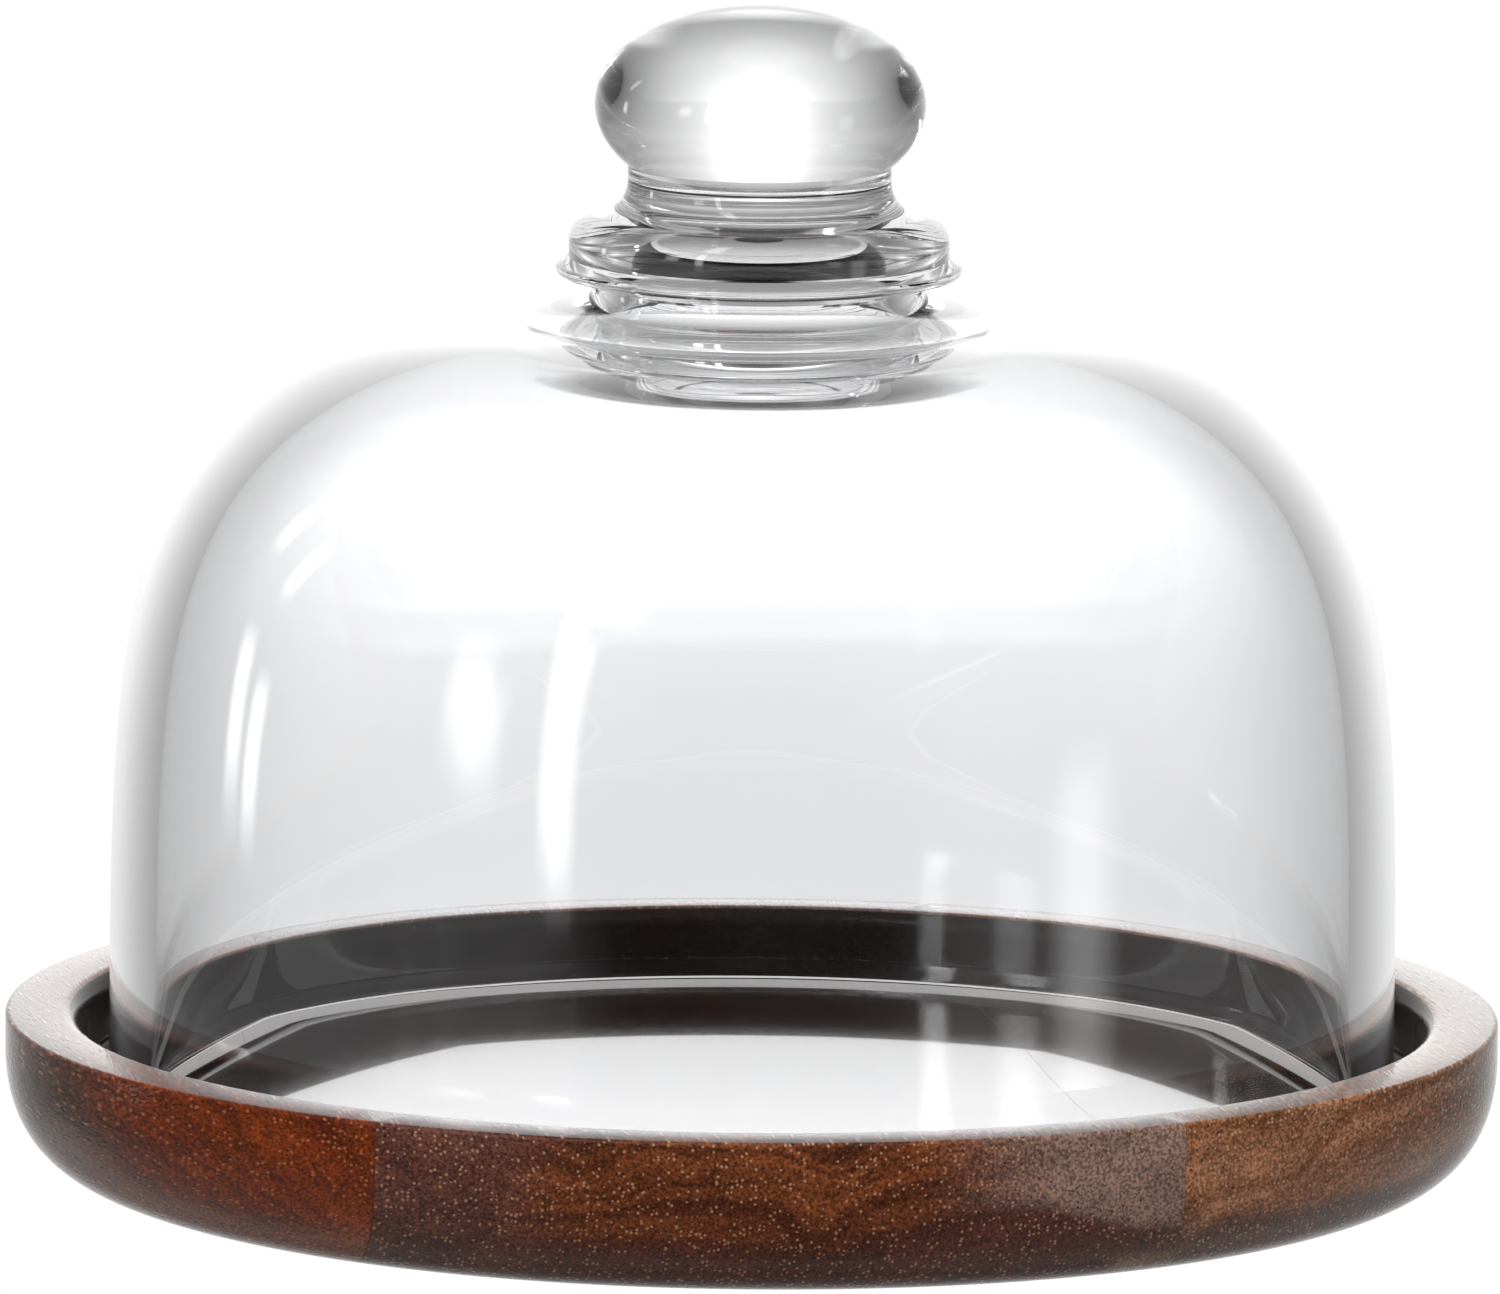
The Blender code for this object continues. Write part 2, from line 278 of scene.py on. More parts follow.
# Softboxes, which all face the middle of the tray's underside: place, size and radiance.
SOFTBOXES = (
    ("overhead_fill", (0.0, -0.5, 1.5), (2.4, 2.0), 2.2),
    ("front_fill", (-0.3, -2.4, 0.9), (2.4, 1.2), 1.6),
    ("back_fill", (0.3, 2.4, 0.7), (2.4, 1.2), 1.5),
    ("table_bounce", (0.4, -2.0, -0.6), (2.4, 1.0), 1.7),
)


# ---------------------------------------------------------------- sections


def arc(centre, radii, start, end, steps):
    """Points on an ellipse arc in the XZ plane between two angles in degrees."""
    points = []
    for step in range(steps + 1):
        angle = math.radians(start + (end - start) * step / steps)
        points.append((centre[0] + radii[0] * math.cos(angle), centre[1] + radii[1] * math.sin(angle)))
    return points


def superellipse(radius, height, power, start, end, steps):
    """Points of (x / radius)^power + (z / height)^power = 1 between two angles of its parameter."""
    points = []
    for step in range(steps + 1):
        angle = math.radians(start + (end - start) * step / steps)
        x = radius * abs(math.cos(angle)) ** (2 / power)
        z = height * abs(math.sin(angle)) ** (2 / power)
        points.append((x, z))
    return points


def angle_at_radius(radius, power, x):
    return math.degrees(math.acos((x / radius) ** (power / 2)))


def angle_at_height(height, power, z):
    return math.degrees(math.asin((z / height) ** (power / 2)))


def lifted(points, height):
    return [(x, z + height) for x, z in points]


def bell_section():
    """From the stub's top edge down the outside, round the foot and up the inside to the bore."""
    stub_top = NECK_TOP - BELL_FOOT
    bell_height = stub_top - NECK_STUB_HEIGHT
    fillet_foot = NECK_STUB_RADIUS + NECK_STUB_HEIGHT
    stub = arc(
        (fillet_foot, stub_top), (NECK_STUB_HEIGHT, NECK_STUB_HEIGHT), 180, 270, FILLET_STEPS
    )
    outside = superellipse(
        BELL_RADIUS, bell_height, BELL_POWER,
        angle_at_radius(BELL_RADIUS, BELL_POWER, fillet_foot + NECK_STUB_HEIGHT),
        angle_at_height(bell_height, BELL_POWER, BELL_FOOT_ROUND), CURVE_STEPS,
    )
    outer_foot = arc(
        (BELL_RADIUS - BELL_FOOT_ROUND, BELL_FOOT_ROUND),
        (BELL_FOOT_ROUND, BELL_FOOT_ROUND), 0, -90, FILLET_STEPS,
    )
    inner_radius = BELL_RADIUS - BELL_WALL
    inner_height = bell_height - BELL_CROWN_THICKNESS
    inner_foot = arc(
        (inner_radius + BELL_FOOT_INNER_ROUND, BELL_FOOT_INNER_ROUND),
        (BELL_FOOT_INNER_ROUND, BELL_FOOT_INNER_ROUND), 270, 180, FILLET_STEPS,
    )
    inside = superellipse(
        inner_radius, inner_height, BELL_POWER,
        angle_at_height(inner_height, BELL_POWER, BELL_FOOT_INNER_ROUND),
        angle_at_radius(inner_radius, BELL_POWER, NECK_FLARE_RADIUS), CURVE_STEPS,
    )
    flare = arc(
        (NECK_FLARE_RADIUS, stub_top),
        (NECK_FLARE_RADIUS - NECK_BORE_RADIUS, stub_top - inside[-1][1]), 270, 180, 2 * FILLET_STEPS,
    )
    section = [*stub, *outside, *outer_foot[1:], *inner_foot, *inside[1:], *flare[1:]]
    return lifted(section, BELL_FOOT)


def collar_outside():
    """From the knob's seat down to the stub, over the bulge and the lip."""
    height = COLLAR_TOP - COLLAR_FOOT
    seat = arc(
        (COLLAR_SEAT_RADIUS + COLLAR_SEAT_FILLET, height),
        (COLLAR_SEAT_FILLET, height - COLLAR_BULGE_TOP),
        180, 180 + COLLAR_SHOULDER_SWEEP, FILLET_STEPS,
    )
    bulge = arc(
        (COLLAR_BULGE_RADIUS - COLLAR_BULGE_ROUND, COLLAR_BULGE_TOP - COLLAR_BULGE_ROUND),
        (COLLAR_BULGE_ROUND, COLLAR_BULGE_ROUND), COLLAR_SHOULDER_SWEEP, 0, FILLET_STEPS,
    )
    lip = arc(
        (COLLAR_LIP_RADIUS - COLLAR_LIP_ROUND, COLLAR_LIP_HEIGHT),
        (COLLAR_LIP_ROUND, COLLAR_LIP_ROUND), COLLAR_LIP_SWEEP, -COLLAR_LIP_SWEEP, FILLET_STEPS,
    )
    section = [*seat, *bulge, (COLLAR_BULGE_RADIUS, COLLAR_SIDE_FOOT), *lip, (NECK_STUB_RADIUS, 0.0)]
    return lifted(section, COLLAR_FOOT)


def collar_hollow():
    """From the foot of the hollow, up its wall and in to the middle of its ceiling."""
    corner = arc(
        (COLLAR_HOLLOW_RADIUS - COLLAR_HOLLOW_ROUND, COLLAR_HOLLOW_HEIGHT - COLLAR_HOLLOW_ROUND),
        (COLLAR_HOLLOW_ROUND, COLLAR_HOLLOW_ROUND), 0, 90, FILLET_STEPS,
    )
    crown = (0.0, COLLAR_HOLLOW_HEIGHT + COLLAR_HOLLOW_CROWN)
    heights = [0.0, *NECK_SHADE_BANDS[0], NECK_SHADE_BANDS[1][0]]
    wall = [(COLLAR_HOLLOW_RADIUS, height) for height in heights]
    return lifted([*wall, *corner, crown], COLLAR_FOOT)


def knob_section():
    """From the top of the ball down the outside of the stem."""
    stem_angle = math.degrees(math.acos(KNOB_STEM_RADIUS / KNOB_RADIUS))
    half_height = (KNOB_TOP - KNOB_FOOT - KNOB_STEM_HEIGHT) / (1 + math.sin(math.radians(stem_angle)))
    centre = (0.0, KNOB_TOP - KNOB_FOOT - half_height)
    ball = arc(centre, (KNOB_RADIUS, half_height), 90, -stem_angle, CURVE_STEPS)
    ball[0] = (0.0, ball[0][1])
    return lifted([*ball, (KNOB_STEM_RADIUS, 0.0)], KNOB_FOOT)


def glass_section():
    """The knob, the collar, the bell and the hollow in them as one skin, for they are fused."""
    return [*knob_section(), *collar_outside(), *bell_section(), *collar_hollow()]


def tray_section():
    """From the middle of the recess floor, over the rim and round the side to the underside."""
    arris = RIM_ARRIS_RADIUS
    cove = arc(
        (RECESS_RADIUS - RECESS_COVE, RECESS_FLOOR + RECESS_COVE),
        (RECESS_COVE, RECESS_COVE), -90, 0, FILLET_STEPS,
    )
    inner_round = arc(
        (RECESS_RADIUS + RIM_INNER_ROUND, TRAY_HEIGHT - RIM_INNER_ROUND),
        (RIM_INNER_ROUND, RIM_INNER_ROUND), 180, 90, FILLET_STEPS,
    )
    outer_arris = arc(
        (TRAY_RADIUS - arris, TRAY_HEIGHT - arris), (arris, arris), 90, 0, ARRIS_STEPS
    )
    curve_height = TRAY_HEIGHT - TRAY_UPRIGHT_SIDE
    quarter = superellipse(
        TRAY_UNDERCURVE_INSET, curve_height, TRAY_UNDERCURVE_POWER, 0, 90, CURVE_STEPS
    )
    flat_radius = TRAY_RADIUS - TRAY_UNDERCURVE_INSET
    undercurve = [(flat_radius + x, curve_height - z) for x, z in quarter]
    return [(0.0, RECESS_FLOOR), *cove, *inner_round, *outer_arris, *undercurve, (0.0, 0.0)]


# ---------------------------------------------------------------- meshes


def turned_mesh(section):
    """A skin of revolution about Z from a section."""
    shape = bmesh.new()
    vertices = [shape.verts.new((x, 0.0, z)) for x, z in section]
    edges = [shape.edges.new(pair) for pair in zip(vertices, vertices[1:])]
    bmesh.ops.spin(
        shape, geom=[*vertices, *edges], cent=(0, 0, 0), axis=(0, 0, 1), angle=math.tau,
        steps=TURN_STEPS, use_merge=True,
    )
    bmesh.ops.remove_doubles(shape, verts=shape.verts, dist=MERGE_DISTANCE)
    bmesh.ops.recalc_face_normals(shape, faces=shape.faces)
    return shape


def finished(name, shape, body, node):
    """The shape as a smooth-shaded piece that rides on a body and stands for a CAD node."""
    mesh = bpy.data.meshes.new(name)
    shape.to_mesh(mesh)
    shape.free()
    mesh.shade_smooth()
    mesh.set_sharp_from_angle(angle=SHARP_ANGLE)
    piece = bpy.data.objects.new(name, mesh)
    bpy.context.scene.collection.objects.link(piece)
    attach(piece, body)
    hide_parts(node)
    return piece


def board_shape(turned, near, far):
    """What the turned tray keeps between two offsets across the grain."""
    shape = turned.copy()
    across = Vector((math.cos(GRAIN_TURN), math.sin(GRAIN_TURN), 0.0))
    for offset, outward in ((near, -across), (far, across)):
        if abs(offset) >= TRAY_RADIUS:
            continue
        cut = bmesh.ops.bisect_plane(
            shape, geom=[*shape.verts, *shape.edges, *shape.faces],
            plane_co=across * offset, plane_no=outward, clear_outer=True,
        )
        outline = [part for part in cut["geom_cut"] if isinstance(part, bmesh.types.BMEdge)]
        bmesh.ops.contextual_create(shape, geom=outline)
    return shape


# ---------------------------------------------------------------- materials


def add_node(tree, kind, inputs=None, **settings):
    """A node with its settings, and with its inputs linked to sockets or set to values."""
    made = tree.nodes.new(kind)
    for name, value in settings.items():
        setattr(made, name, value)
    for name, value in (inputs or {}).items():
        if isinstance(value, bpy.types.NodeSocket):
            tree.links.new(value, made.inputs[name])
        else:
            made.inputs[name].default_value = value
    return made


def calculate(tree, operation, first, second=0.0):
    return add_node(tree, "ShaderNodeMath", {0: first, 1: second}, operation=operation).outputs[0]


def spread(tree, value, width, power):
    """exp(-(value / width)^power), which is 1 at zero and fades on both sides."""
    share = calculate(tree, "ABSOLUTE", calculate(tree, "DIVIDE", value, width))
    return calculate(
        tree, "EXPONENT", calculate(tree, "MULTIPLY", calculate(tree, "POWER", share, power), -1.0)
    )


def map_range(tree, value, low, high, to_low=0.0, to_high=1.0):
    inputs = {"Value": value, "From Min": low, "From Max": high, "To Min": to_low, "To Max": to_high}
    return add_node(
        tree, "ShaderNodeMapRange", inputs, interpolation_type="SMOOTHSTEP"
    ).outputs["Result"]


def mix_colour(tree, factor, first, second, blend="MIX"):
    made = add_node(tree, "ShaderNodeMix", data_type="RGBA", blend_type=blend)
    sockets = {"Factor": made.inputs[0], "A": made.inputs[6], "B": made.inputs[7]}
    for name, value in (("Factor", factor), ("A", first), ("B", second)):
        if isinstance(value, bpy.types.NodeSocket):
            tree.links.new(value, sockets[name])
        else:
            sockets[name].default_value = value
    return made.outputs[2]


def rgba(colour):
    return (*colour, 1.0)


def new_material(name):
    material = bpy.data.materials.new(name)
    material.use_nodes = True
    return material, material.node_tree, material.node_tree.nodes["Principled BSDF"]


def glass_material(name, colour):
    """Clear pressed glass, a little denser in some places than in others."""
    material, tree, shader = new_material(name)
    place = add_node(tree, "ShaderNodeTexCoord").outputs["Object"]
    density = add_node(
        tree, "ShaderNodeTexNoise", {"Vector": place, "Scale": GLASS_CLOUD_SCALE, "Detail": 2.0}
    ).outputs["Fac"]
    denser = rgba(tuple(channel * GLASS_CLOUD_SHADE for channel in colour))
    tree.links.new(mix_colour(tree, density, denser, rgba(colour)), shader.inputs["Base Color"])
    shader.inputs["Roughness"].default_value = 0.0
    shader.inputs["IOR"].default_value = GLASS_IOR
    shader.inputs["Transmission Weight"].default_value = 1.0
    return material


def ground_glass_material():
    """The bell's ground foot, frosted, with a painted glow where light carried down inside the real
    wall comes out.
    """
    material, tree, shader = new_material("ground_foot_material")
    place = add_node(tree, "ShaderNodeTexCoord").outputs["Object"]
    grit = add_node(
        tree, "ShaderNodeTexNoise", {"Vector": place, "Scale": GROUND_GRIT_SCALE, "Detail": 3.0}
    ).outputs["Fac"]
    colour = mix_colour(tree, grit, rgba(GROUND_DULL), rgba(GROUND_BRIGHT))
    tree.links.new(colour, shader.inputs["Base Color"])
    shader.inputs["Roughness"].default_value = GROUND_ROUGHNESS
    shader.inputs["IOR"].default_value = GLASS_IOR
    shader.inputs["Transmission Weight"].default_value = GROUND_CLEARNESS
    # Painted glow: the foot emits light though it is no lamp.
    shader.inputs["Emission Color"].default_value = rgba(GROUND_BRIGHT)
    shader.inputs["Emission Strength"].default_value = GROUND_PAINTED_GLOW
    return material


def stretched(tree, place, size, seed):
    """A place in units of a size, moved by a seed."""
    scale = tuple(1 / length for length in size)
    inputs = {"Vector": place, "Scale": scale, "Location": (seed, seed, seed)}
    return add_node(tree, "ShaderNodeMapping", inputs).outputs["Vector"]


def noise(tree, place, size, seed, detail=2.0):
    inputs = {"Vector": stretched(tree, place, size, seed), "Scale": 1.0, "Detail": detail}
    return add_node(tree, "ShaderNodeTexNoise", inputs).outputs["Fac"]


def cells(tree, place, size, seed):
    """Distance from the middle of the nearest cell, and that cell's random share."""
    inputs = {"Vector": stretched(tree, place, size, seed), "Scale": 1.0}
    made = add_node(tree, "ShaderNodeTexVoronoi", inputs)
    share = add_node(tree, "ShaderNodeSeparateColor", {"Color": made.outputs["Color"]}).outputs["Red"]
    return made.outputs["Distance"], share


def growth(tree, axes, warp, look):
    """Light and dark growth rings round the board's pith, 0 to 1."""
    across = calculate(tree, "SUBTRACT", axes["X"], look["pith"][0])
    up = calculate(tree, "SUBTRACT", axes["Z"], look["pith"][1])
    square = calculate(
        tree, "ADD", calculate(tree, "POWER", across, 2.0), calculate(tree, "POWER", up, 2.0)
    )
    distance = calculate(tree, "ADD", calculate(tree, "SQRT", square), warp)
    inputs = {"W": calculate(tree, "DIVIDE", distance, look["spacing"]), "Scale": 1.0, "Detail": 3.0}
    rings = add_node(tree, "ShaderNodeTexNoise", inputs, noise_dimensions="1D").outputs["Fac"]
    return map_range(tree, rings, *RING_RANGE)


def heartwood(tree, axes, warp):
    """1 in the dark heartwood low in the boards, 0 above it."""
    off = calculate(tree, "SUBTRACT", axes["X"], HEART_RISE_AT)
    rise = calculate(tree, "MULTIPLY", spread(tree, off, HEART_RISE_WIDTH, 2.0), HEART_RISE)
    level = calculate(tree, "ADD", calculate(tree, "ADD", rise, HEART_LEVEL), warp)
    return map_range(tree, calculate(tree, "SUBTRACT", level, axes["Z"]), *HEART_EDGE)


def with_zones(tree, axes, colour, zones):
    """A board's colour with its zones laid over it: patches of other wood, and pale grey zones that are
    painted sheen.
    """
    for zone_colour, starts, full, ends_from, ends_at in zones:
        here = calculate(
            tree, "MULTIPLY", map_range(tree, axes["X"], starts, full),
            map_range(tree, axes["Z"], ends_from, ends_at, 1.0, 0.0),
        )
        colour = mix_colour(tree, here, colour, rgba(zone_colour))
    return colour


def wood_material(name, look, shade, ior, relief, wood_roughness, coat_roughness):
    """Lacquered acacia: rings, heartwood, fine mottle, pale flecks that are partly painted glints and
    dark pores in a solid, with painted shade on some faces.
    """
    material, tree, shader = new_material(name)
    place = add_node(
        tree, "ShaderNodeMapping", {
            "Vector": add_node(tree, "ShaderNodeTexCoord").outputs["Object"],
            "Rotation": (0.0, 0.0, -GRAIN_TURN), "Scale": (1 / MILLIMETRE,) * 3,
        }
    ).outputs["Vector"]
    axes = add_node(tree, "ShaderNodeSeparateXYZ", {"Vector": place}).outputs
    seed = look["seed"]
    warp = map_range(
        tree, noise(tree, place, WARP_SIZE, seed), *WARP_RANGE, -WARP_REACH / 2, WARP_REACH / 2
    )
    colour = mix_colour(tree, growth(tree, axes, warp, look), rgba(look["dark"]), rgba(look["light"]))
    colour = with_zones(tree, axes, colour, look["under"])
    ragged = calculate(tree, "MULTIPLY", warp, HEART_RAGGEDNESS)
    colour = mix_colour(tree, heartwood(tree, axes, ragged), colour, rgba(look["heart"]))
    colour = with_zones(tree, axes, colour, look["over"])
    patches = map_range(tree, noise(tree, place, PATCH_SIZE, seed, 4.0), *PATCH_RANGE, *PATCH_SHADES)
    colour = mix_colour(tree, 1.0, colour, patches, "MULTIPLY")
    mottle = noise(tree, place, MOTTLE_SIZE, seed, 1.0)
    mottled = map_range(tree, mottle, *MOTTLE_RANGE, *MOTTLE_SHADES)
    colour = mix_colour(tree, 1.0, colour, mottled, "MULTIPLY")
    # Pale flecks, partly real and partly painted glints.
    fleck_and_glint_distance, fleck_and_glint_share = cells(tree, place, FLECK_AND_GLINT_SIZE, seed)
    has_fleck_and_glint = calculate(tree, "LESS_THAN", fleck_and_glint_share, look["fleck_and_glint_share"])
    fleck_and_glint = calculate(
        tree, "MULTIPLY", map_range(tree, fleck_and_glint_distance, *FLECK_AND_GLINT_EDGE, FLECK_AND_GLINT_STRENGTH, 0.0), has_fleck_and_glint
    )
    colour = mix_colour(tree, fleck_and_glint, colour, rgba(look["fleck_and_glint"]))
    pore_distance, pore_share = cells(tree, place, PORE_SIZE, seed + 1)
    pored = calculate(tree, "LESS_THAN", pore_share, PORE_SHARE)
    pore = calculate(
        tree, "MULTIPLY", map_range(tree, pore_distance, *PORE_EDGE, PORE_STRENGTH, 0.0), pored
    )
    colour = mix_colour(tree, pore, colour, rgba(PORE_COLOUR))
    # Painted shade: the colour is darkened by the face's shade.
    colour = mix_colour(tree, 1.0, colour, rgba((shade, shade, shade)), "MULTIPLY")
    tree.links.new(colour, shader.inputs["Base Color"])
    if relief:
        height = calculate(tree, "SUBTRACT", calculate(tree, "ADD", mottle, fleck_and_glint), pore)
        bump = add_node(
            tree, "ShaderNodeBump", {"Height": height, "Strength": relief, "Distance": BUMP_DEPTH}
        ).outputs["Normal"]
        tree.links.new(bump, shader.inputs["Normal"])
        tree.links.new(bump, shader.inputs["Coat Normal"])
    shader.inputs["Roughness"].default_value = wood_roughness
    shader.inputs["IOR"].default_value = ior
    shader.inputs["Coat Weight"].default_value = 1.0
    shader.inputs["Coat Roughness"].default_value = coat_roughness
    shader.inputs["Coat IOR"].default_value = ior
    return material


# ---------------------------------------------------------------- object


def between_heights(turned, low, high):
    """The faces of a turned skin that lie between two heights."""
    shape = turned.copy()
    doomed = [face for face in shape.faces if not low < face.calc_center_median().z < high]
    bmesh.ops.delete(shape, geom=doomed, context="FACES")
    return shape


def shade_neck(piece):
    """Slot 1, nearly black, is the painted reflection in bands round the hollow and the seam under the
    knob's stem.

    Slot 2, clear, is the lip.
    """
    piece.data.materials.append(glass_material("neck_shade_material", NECK_SHADE_COLOUR))
    piece.data.materials.append(glass_material("collar_lip_material", BELL_COLOUR))
    for face in piece.data.polygons:
        centre = face.center
        in_band = any(low < centre.z - COLLAR_FOOT < high for low, high in NECK_SHADE_BANDS)
        on_wall = centre.xy.length < COLLAR_SEAT_RADIUS and in_band
        if on_wall or centre.z > COLLAR_TOP:
            face.material_index = 1
        elif centre.z < COLLAR_FOOT + COLLAR_LIP_HEIGHT:
            face.material_index = 2


def make_glass():
    neck_joint = (NECK_TOP + COLLAR_FOOT) / 2
    parts = (
        ("bell_glass", 0.0, neck_joint, "bell_shell", BELL_COLOUR),
        ("collar_glass", neck_joint, KNOB_FOOT, "neck_collar", COLLAR_PAINTED_SHADE_COLOUR),
        ("knob_glass", KNOB_FOOT, 2 * KNOB_TOP, "lifting_knob", BELL_COLOUR),
    )
    turned = turned_mesh(glass_section())
    foot_top = BELL_FOOT + GROUND_HEIGHT
    for name, low, high, node, colour in parts:
        piece = finished(name, between_heights(turned, low, high), "lid", node)
        piece.data.materials.append(glass_material(f"{name}_material", colour))
        piece.visible_shadow = False
        if node == "neck_collar":
            shade_neck(piece)
        if node == "bell_shell":
            piece.data.materials.append(ground_glass_material())
            for face in piece.data.polygons:
                face.material_index = int(face.center.z < foot_top)
    turned.free()


def finish_faces(piece):
    """The side is slot 0, the polished rim 1, the shaded wall of the recess 2 and its floor 3. The rim,
    the wall and the floor take painted shade.
    """
    for face in piece.data.polygons:
        radius = face.center.xy.length
        if radius > TRAY_RADIUS - RIM_ARRIS_RADIUS or face.center.z < RECESS_FLOOR - REST_GAP:
            face.material_index = 0
        elif radius > RECESS_RADIUS + RIM_INNER_ROUND / 2:
            face.material_index = 1
        elif radius > RECESS_RADIUS - RECESS_COVE:
            face.material_index = 2
        else:
            face.material_index = FLOOR_SLOT
            face.use_smooth = False


def make_tray():
    beyond = 2 * TRAY_RADIUS
    half_gap = GLUE_GAP / 2
    spans = {
        "left": (-beyond, LEFT_GLUE_LINE - half_gap),
        "middle": (LEFT_GLUE_LINE + half_gap, RIGHT_GLUE_LINE - half_gap),
        "right": (RIGHT_GLUE_LINE + half_gap, beyond),
    }
    turned = turned_mesh(tray_section())
    for side, look in BOARD_LOOKS.items():
        shape = board_shape(turned, *spans[side])
        piece = finished(f"board_{side}", shape, "tray", f"tray_board_{side}")
        for part, finish in TRAY_FINISHES.items():
            piece.data.materials.append(wood_material(f"acacia_{side}_{part}", look, *finish))
        finish_faces(piece)
    turned.free()


# ---------------------------------------------------------------- studio


def make_camera():
    data = bpy.data.cameras.new("camera")
    data.lens = CAMERA_LENS
    data.sensor_width = SENSOR_WIDTH
    data.clip_end = CAMERA_REACH
    camera = bpy.data.objects.new("camera", data)
    bpy.context.scene.collection.objects.link(camera)
    back = Vector((0.0, -math.cos(CAMERA_ELEVATION), math.sin(CAMERA_ELEVATION)))
    facing = (-back).to_track_quat("-Z", "Y").to_matrix().to_4x4()
    roll = Matrix.Rotation(CAMERA_ROLL, 4, "Z")
    camera.matrix_world = Matrix.Translation(AIM + back * CAMERA_DISTANCE) @ facing @ roll
    bpy.context.scene.camera = camera


def make_floor():
    """A plain white floor that shines only into the camera, so that it lights nothing."""
    bpy.ops.mesh.primitive_plane_add(size=FLOOR_SIZE, location=(0.0, 0.0, -REST_GAP))
    floor = bpy.context.object
    floor.name = "studio_floor"
    material, tree, shader = new_material("studio_floor_white")
    shader.inputs["Base Color"].default_value = rgba((0.0, 0.0, 0.0))
    shader.inputs["Specular IOR Level"].default_value = 0.0
    shader.inputs["Emission Color"].default_value = rgba((1.0, 1.0, 1.0))
    shader.inputs["Emission Strength"].default_value = FLOOR_LIGHT
    floor.data.materials.append(material)
    floor.visible_diffuse = False
    floor.visible_glossy = False
    floor.visible_transmission = False
    floor.visible_shadow = False


def away_from(tree, direction, elevation):
    """The angle between a direction and a place behind the object at an elevation."""
    centre = Vector((0.0, math.cos(elevation), math.sin(elevation)))
    nearness = add_node(
        tree, "ShaderNodeVectorMath", {0: direction, 1: centre}, operation="DOT_PRODUCT"
    ).outputs["Value"]
    return calculate(tree, "ARCCOSINE", nearness)


def backdrop_glow(tree, direction):
    """The lit backdrop behind the object, brightest at its core, and the grey room round it."""
    away = away_from(tree, direction, GLOW_ELEVATION)
    glow = calculate(tree, "MULTIPLY", spread(tree, away, GLOW_WIDTH, GLOW_POWER), GLOW_PEAK)
    core_away = away_from(tree, direction, CORE_ELEVATION)
    core = calculate(tree, "MULTIPLY", spread(tree, core_away, CORE_WIDTH, CORE_POWER), CORE_PEAK)
    room = map_range(tree, away, *ROOM_FADE, SIDE_LIGHT, ROOM_LIGHT)
    room = calculate(tree, "MULTIPLY", room, map_range(tree, away, *DARK_FRONT, 1.0, DARK_FRONT_SHARE))
    return calculate(tree, "ADD", calculate(tree, "ADD", glow, core), room)


def low_boards(tree, azimuth, elevation):
    """White boards low on both sides, which keep the glass clear when it is seen from above."""
    behind = calculate(tree, "SUBTRACT", math.pi, calculate(tree, "ABSOLUTE", azimuth))
    low = map_range(tree, elevation, *BOARD_TOP, BOARD_LIGHT, 0.0)
    past_back = map_range(tree, behind, *BOARD_BACK)
    short_of_front = map_range(tree, behind, *BOARD_FRONT, 1.0, 0.0)
    return calculate(tree, "MULTIPLY", low, calculate(tree, "MULTIPLY", past_back, short_of_front))


def key_panel(tree, axes):
    """An oval softbox above and in front, dimmer towards the backdrop."""
    height = calculate(tree, "MAXIMUM", axes["Z"], KEY_HORIZON)
    across = calculate(tree, "DIVIDE", axes["X"], height)
    along = calculate(tree, "DIVIDE", axes["Y"], height)
    x_share = calculate(tree, "DIVIDE", calculate(tree, "SUBTRACT", across, KEY_CENTRE[0]), KEY_HALF[0])
    y_share = calculate(tree, "DIVIDE", calculate(tree, "SUBTRACT", along, KEY_CENTRE[1]), KEY_HALF[1])
    square = calculate(
        tree, "ADD", calculate(tree, "POWER", x_share, 2.0), calculate(tree, "POWER", y_share, 2.0)
    )
    inside = map_range(tree, square, *KEY_EDGE, 1.0, 0.0)
    strength = map_range(tree, along, *KEY_FADE, KEY_LIGHT, KEY_LIGHT_BEHIND)
    back = map_range(tree, along, *KEY_BACK, 1.0, 0.0)
    return calculate(tree, "MULTIPLY", inside, calculate(tree, "MULTIPLY", strength, back))


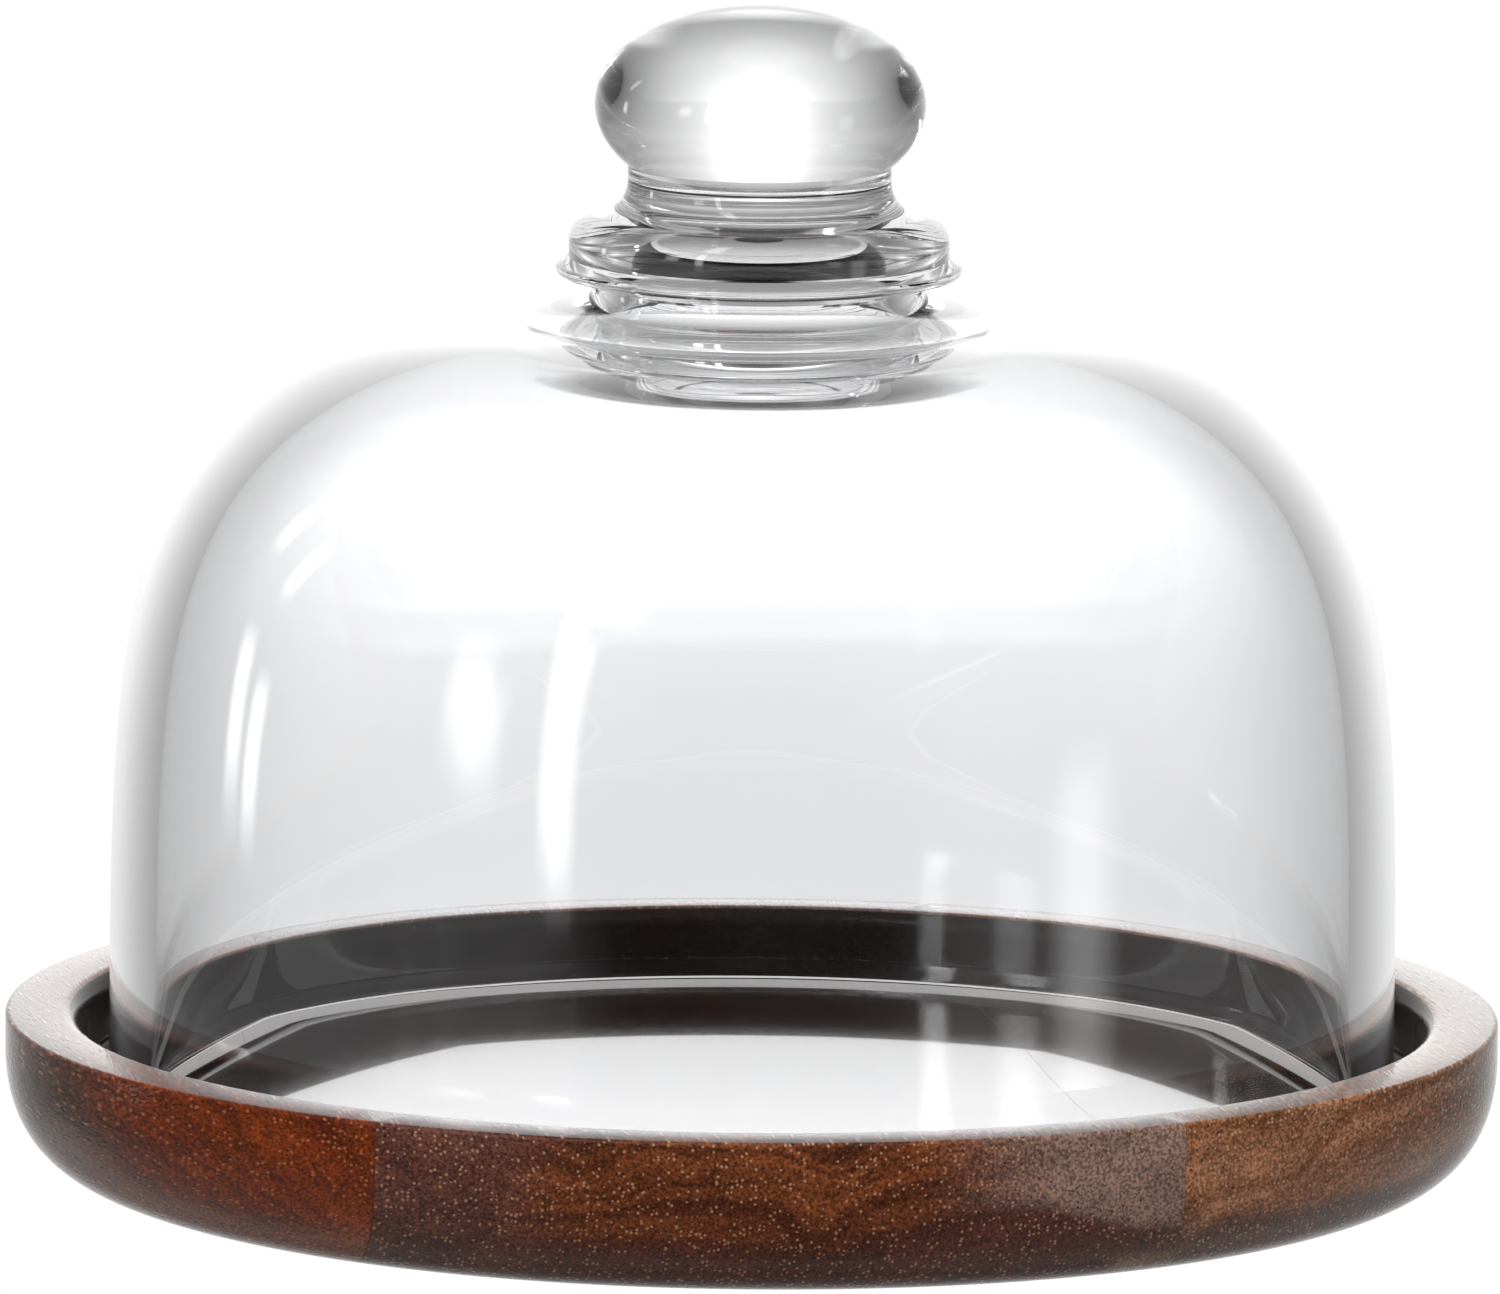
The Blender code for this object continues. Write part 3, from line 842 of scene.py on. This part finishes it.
def strip_light(tree, azimuth, elevation, strip):
    """A soft-edged upright strip: its azimuth from the camera's side, its span and its strength."""
    middle, width, low, high, softness, strength = strip
    off = calculate(tree, "SUBTRACT", azimuth, math.radians(middle))
    across = spread(tree, off, math.radians(width), STRIP_EDGE_POWER)
    low_end = map_range(
        tree, elevation, math.radians(low - softness), math.radians(low + softness)
    )
    high_end = map_range(
        tree, elevation, math.radians(high - softness), math.radians(high + softness), strength, 0.0
    )
    return calculate(tree, "MULTIPLY", across, calculate(tree, "MULTIPLY", low_end, high_end))


def make_world():
    """The studio as the glass sees it: a glowing backdrop, a key panel and upright strips."""
    world = bpy.data.worlds.new("studio")
    world.use_nodes = True
    world.cycles_visibility.diffuse = False
    bpy.context.scene.world = world
    tree = world.node_tree
    direction = add_node(tree, "ShaderNodeTexCoord").outputs["Generated"]
    axes = add_node(tree, "ShaderNodeSeparateXYZ", {"Vector": direction}).outputs
    azimuth = calculate(tree, "ARCTAN2", axes["X"], calculate(tree, "MULTIPLY", axes["Y"], -1.0))
    elevation = calculate(tree, "ARCSINE", axes["Z"])
    total = calculate(tree, "ADD", backdrop_glow(tree, direction), key_panel(tree, axes))
    total = calculate(tree, "ADD", total, low_boards(tree, azimuth, elevation))
    for strip in STRIPS:
        total = calculate(tree, "ADD", total, strip_light(tree, azimuth, elevation, strip))
    background = tree.nodes["Background"]
    background.inputs["Color"].default_value = rgba((1.0, 1.0, 1.0))
    tree.links.new(total, background.inputs["Strength"])


def add_softbox(name, location, size, radiance):
    """A rectangular light of one brightness, whatever its size, which shows in no reflection."""
    data = bpy.data.lights.new(name, "AREA")
    data.shape = "RECTANGLE"
    data.size, data.size_y = size
    data.energy = math.pi * size[0] * size[1] * radiance
    softbox = bpy.data.objects.new(name, data)
    softbox.location = location
    toward = -Vector(location)
    softbox.rotation_euler = toward.to_track_quat("-Z", "Y").to_euler()
    softbox.visible_camera = False
    softbox.visible_transmission = False
    softbox.visible_glossy = False
    bpy.context.scene.collection.objects.link(softbox)


def make_lights():
    """Soft light for the wood, which the world leaves unlit."""
    for softbox in SOFTBOXES:
        add_softbox(*softbox)


def set_renderer():
    scene = bpy.context.scene
    scene.view_settings.view_transform = "Standard"
    scene.cycles.max_bounces = 24
    scene.cycles.transmission_bounces = 24
    scene.cycles.glossy_bounces = 12
    scene.cycles.caustics_reflective = False
    scene.cycles.caustics_refractive = False


make_camera()
make_floor()
make_world()
make_lights()
set_renderer()
make_glass()
make_tray()
